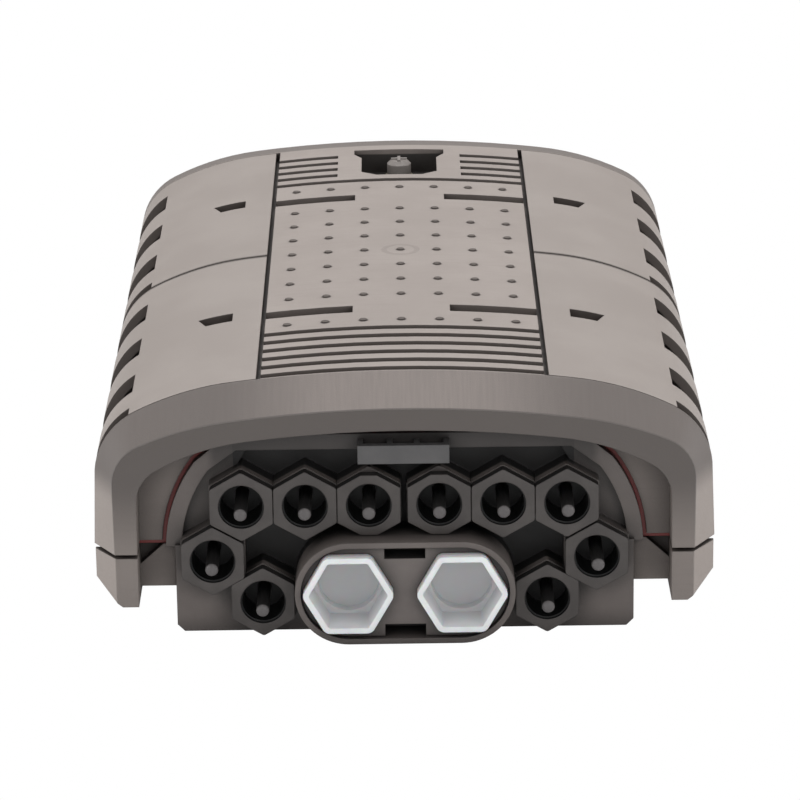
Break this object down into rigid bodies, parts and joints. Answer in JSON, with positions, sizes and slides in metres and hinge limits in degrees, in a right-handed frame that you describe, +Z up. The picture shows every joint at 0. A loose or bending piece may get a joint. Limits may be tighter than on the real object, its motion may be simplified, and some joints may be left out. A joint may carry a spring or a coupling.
{
  "type": "fibre splice box",
  "caption": "Weatherproof fibre splice box: domed cover held by side latches on a tray base, with blanked drop ports and an oval main cable port at one end.",
  "frame": {"origin": "centre of the overall bounding box, at its bottom", "axes": "+X right as seen from the port end, +Y from the port end to the rear, +Z up"},
  "size_m": [0.2132, 0.315, 0.0942],
  "materials": {
    "shell_plastic": "fine spark-eroded texture, weathered grey-brown",
    "latch_plastic": "fine spark-eroded texture, weathered grey-brown",
    "port_plastic": "dark glass-filled moulding",
    "plug_plastic": "dark satin moulding",
    "cap_milky": "natural translucent moulding",
    "seal_silicone": "red silicone",
    "pin_steel": "drawn stainless rod",
    "valve_brass": "turned, nickel tinted",
    "valve_cap_plastic": "moulded",
    "tray_plastic": "moulded light grey",
    "comb_rubber": "soft grey",
    "lid_clear": "clear sheet",
    "strap_fabric": "woven hook-and-loop",
    "clamp_metal": "die cast"
  },
  "bodies": {
    "box": {"base_shell": "shell_plastic", "cover_shell": "shell_plastic", "port_block": "port_plastic", "main_port_insert": "port_plastic", "front_clip": "port_plastic", "port_plug_01": "plug_plastic", "port_plug_02": "plug_plastic", "port_plug_03": "plug_plastic", "port_plug_04": "plug_plastic", "port_plug_05": "plug_plastic", "port_plug_06": "plug_plastic", "port_plug_07": "plug_plastic", "port_plug_08": "plug_plastic", "port_plug_09": "plug_plastic", "port_plug_10": "plug_plastic", "seal_ring": "seal_silicone", "latch_pin_front_left": "pin_steel", "latch_pin_front_right": "pin_steel", "latch_pin_rear_left": "pin_steel", "latch_pin_rear_right": "pin_steel", "tray_hinge_pin": "pin_steel", "carrier_screws": "pin_steel", "valve_body": "valve_brass", "valve_core": "valve_brass", "valve_nut": "valve_brass", "splice_tray_1": "tray_plastic", "splice_tray_2": "tray_plastic", "splice_tray_3": "tray_plastic", "tray_carrier": "tray_plastic", "splice_comb_1": "comb_rubber", "splice_comb_2": "comb_rubber", "splice_comb_3": "comb_rubber", "tray_lid": "lid_clear", "tray_strap": "strap_fabric", "strength_clamp_left": "clamp_metal", "strength_clamp_right": "clamp_metal"},
    "latch_front_left": {"latch_front_left": "latch_plastic"},
    "latch_front_right": {"latch_front_right": "latch_plastic"},
    "latch_rear_left": {"latch_rear_left": "latch_plastic"},
    "latch_rear_right": {"latch_rear_right": "latch_plastic"},
    "cap_left": {"main_cap_left": "cap_milky"},
    "cap_right": {"main_cap_right": "cap_milky"},
    "valve_cap": {"valve_cap": "valve_cap_plastic"}
  },
  "joints": [
    {"name": "latch_front_left_hinge", "type": "hinge", "parent": "box", "child": "latch_front_left", "pos_m": [-0.1008, -0.0672, 0.027], "axis": [0, -1, 0], "range_deg": [0, 100]},
    {"name": "latch_front_right_hinge", "type": "hinge", "parent": "box", "child": "latch_front_right", "pos_m": [0.1008, -0.0672, 0.027], "axis": [0, 1, 0], "range_deg": [0, 100]},
    {"name": "latch_rear_left_hinge", "type": "hinge", "parent": "box", "child": "latch_rear_left", "pos_m": [-0.1008, 0.0778, 0.027], "axis": [0, -1, 0], "range_deg": [0, 100]},
    {"name": "latch_rear_right_hinge", "type": "hinge", "parent": "box", "child": "latch_rear_right", "pos_m": [0.1008, 0.0778, 0.027], "axis": [0, 1, 0], "range_deg": [0, 100]},
    {"name": "cap_left_pull", "type": "slide", "parent": "box", "child": "cap_left", "axis": [0, -1, 0], "range_m": [0, 0.025]},
    {"name": "cap_right_pull", "type": "slide", "parent": "box", "child": "cap_right", "axis": [0, -1, 0], "range_m": [0, 0.025]},
    {"name": "valve_cap_turn", "type": "hinge", "parent": "box", "child": "valve_cap", "pos_m": [0, 0.1355, 0.088], "axis": [0, 0, 1], "continuous": true}
  ]
}
